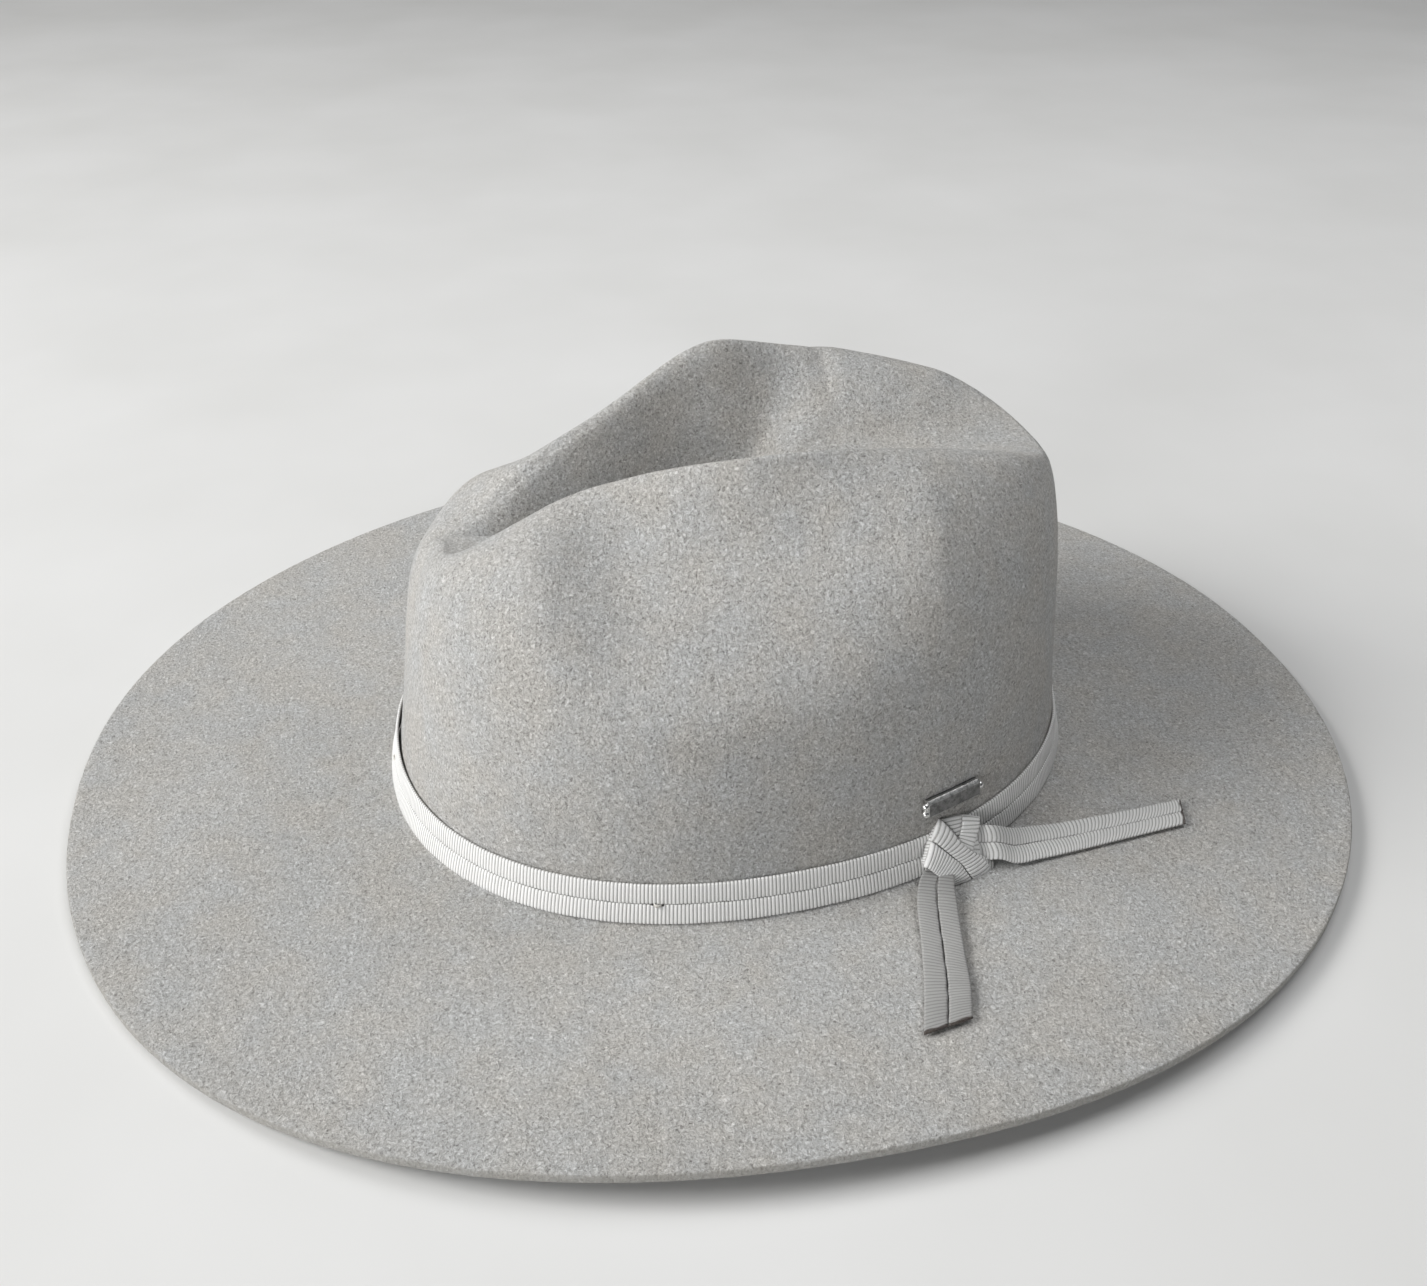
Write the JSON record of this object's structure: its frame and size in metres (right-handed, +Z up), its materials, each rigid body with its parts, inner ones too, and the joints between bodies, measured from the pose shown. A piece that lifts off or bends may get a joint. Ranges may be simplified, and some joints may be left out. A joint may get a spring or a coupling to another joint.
{
  "type": "fedora hat",
  "caption": "Wide flat-brimmed felt fedora with a teardrop-creased crown, a folded ribbon band tied in a knot with loose tails, and a plain metal bar pin.",
  "frame": {"origin": "on the surface the hat stands on, under the middle of the brim's outline", "axes": "+Z up through the crown, -Y towards the hat's front, +X towards the wearer's left, where the knot is"},
  "size_m": [0.3455, 0.3847, 0.1182],
  "materials": {
    "felt": "matt pressed wool felt, fine mottled nap",
    "ribbon": "grosgrain ribbon, cross ribs, folded edges meeting in the middle",
    "thread": "spun sewing thread",
    "pin_metal": "gunmetal, bright worn bevels",
    "pin_bright_metal": "bright nickel",
    "sweatband_leather": "smooth thin leather",
    "reed_plastic": "natural nylon",
    "tape": "woven cotton tape",
    "bow_ribbon": "narrow grosgrain ribbon",
    "satin": "satin lining, soft folds",
    "satin_piping": "satin piping"
  },
  "bodies": {
    "hat": {"felt_body": "felt", "hatband": "ribbon", "band_tacks": "thread", "knot": "ribbon", "pin_bar": "pin_metal", "pin_end_beads": "pin_bright_metal", "pin_prongs": "pin_bright_metal", "pin_backing_plate": "pin_bright_metal", "sweatband": "sweatband_leather", "sweatband_reed": "reed_plastic", "reed_tape": "tape", "sweatband_stitching": "thread", "sweatband_bow": "bow_ribbon", "lining_side": "satin", "lining_tip": "satin", "lining_piping": "satin_piping"},
    "front_tail": {"tail_front": "ribbon"},
    "back_tail": {"tail_back": "ribbon"}
  },
  "joints": [
    {"name": "front_tail_lift", "type": "hinge", "parent": "hat", "child": "front_tail", "pos_m": [0.0927, 0.0425, 0.0106], "axis": [-0.28, -0.96, 0], "range_deg": [0, 70]},
    {"name": "back_tail_lift", "type": "hinge", "parent": "hat", "child": "back_tail", "pos_m": [0.0853, 0.061, 0.0124], "axis": [0.9935, 0.1141, 0], "range_deg": [0, 55]}
  ]
}
